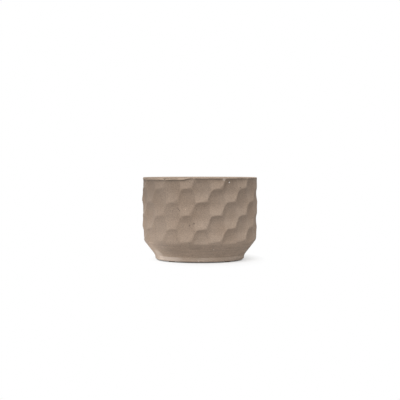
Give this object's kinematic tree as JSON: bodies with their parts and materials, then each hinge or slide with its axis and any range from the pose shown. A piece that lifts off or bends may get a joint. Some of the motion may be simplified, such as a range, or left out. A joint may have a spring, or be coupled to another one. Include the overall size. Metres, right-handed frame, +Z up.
{
  "type": "plant pot",
  "caption": "Round stoneware plant pot with a scoop-carved wall and a low foot ring, glazed inside, with a lift-out drain plug and felt pads underneath.",
  "frame": {"origin": "on the pot's axis, on the surface that the felt pads stand on", "axes": "+Z up along the pot's axis; -Y is the side that the picture shows; +X is to its right"},
  "size_m": [0.14, 0.1401, 0.1],
  "materials": {
    "stoneware_wall": "matte",
    "foot_clay": "matte",
    "liner_glaze": "gloss",
    "plug_silicone": "satin",
    "pad_felt": "matte"
  },
  "bodies": {
    "pot": {"pot_body": "stoneware_wall", "foot_ring": "foot_clay", "inner_glaze": "liner_glaze", "foot_pad_1": "pad_felt", "foot_pad_2": "pad_felt", "foot_pad_3": "pad_felt", "foot_pad_4": "pad_felt"},
    "plug": {"drain_plug": "plug_silicone"}
  },
  "joints": [
    {"name": "drain_plug_lift", "type": "slide", "parent": "pot", "child": "plug", "axis": [0, 0, 1], "range_m": [0, 0.115]}
  ]
}
